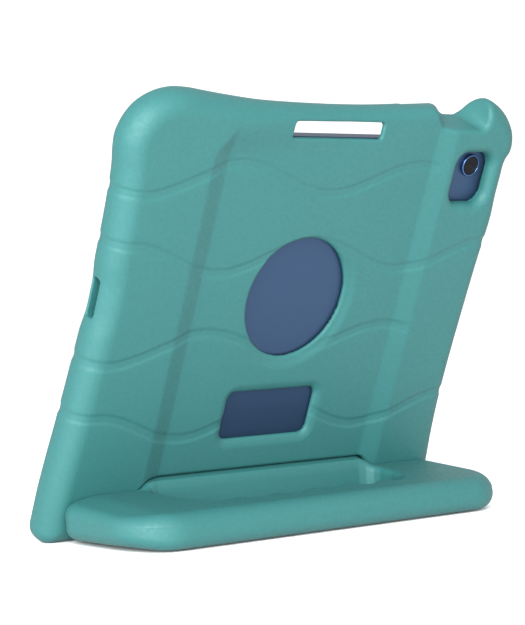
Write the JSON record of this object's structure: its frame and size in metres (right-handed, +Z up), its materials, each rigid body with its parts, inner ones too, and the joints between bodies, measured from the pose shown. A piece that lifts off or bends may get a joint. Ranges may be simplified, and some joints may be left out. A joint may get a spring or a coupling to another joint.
{
  "type": "kids tablet case",
  "caption": "Shockproof foam tablet case in teal with wave grooves, a round back window, and a handle that folds out as a kickstand, with the tablet in place.",
  "frame": {"origin": "middle of the footprint, on the surface that the stand's underside rests on", "axes": "+X along the hinge, towards the side with the charging port; +Y towards the back of the case, where the stand opens; +Z up. The screen faces -Y and leans back by 21.6 degrees"},
  "size_m": [0.2738, 0.1046, 0.2306],
  "materials": {
    "foam": "satin teal EVA foam with a fine grain",
    "steel_pin": "satin",
    "tablet_metal": "satin blue anodised",
    "screen_glass": "glossy black",
    "camera_trim": "satin blue anodised",
    "camera_glass": "glossy black"
  },
  "bodies": {
    "stand": {"stand_handle": "foam", "hinge_pin_left": "steel_pin", "hinge_pin_right": "steel_pin"},
    "case": {"case_shell": "foam", "tablet_housing": "tablet_metal", "tablet_glass": "screen_glass", "tablet_camera_ring": "camera_trim", "tablet_camera_lens": "camera_glass"}
  },
  "joints": [
    {"name": "stand_hinge", "type": "hinge", "parent": "stand", "child": "case", "pos_m": [0, -0.04141, 0.011], "axis": [1, 0, 0], "range_deg": [0, 110]}
  ]
}
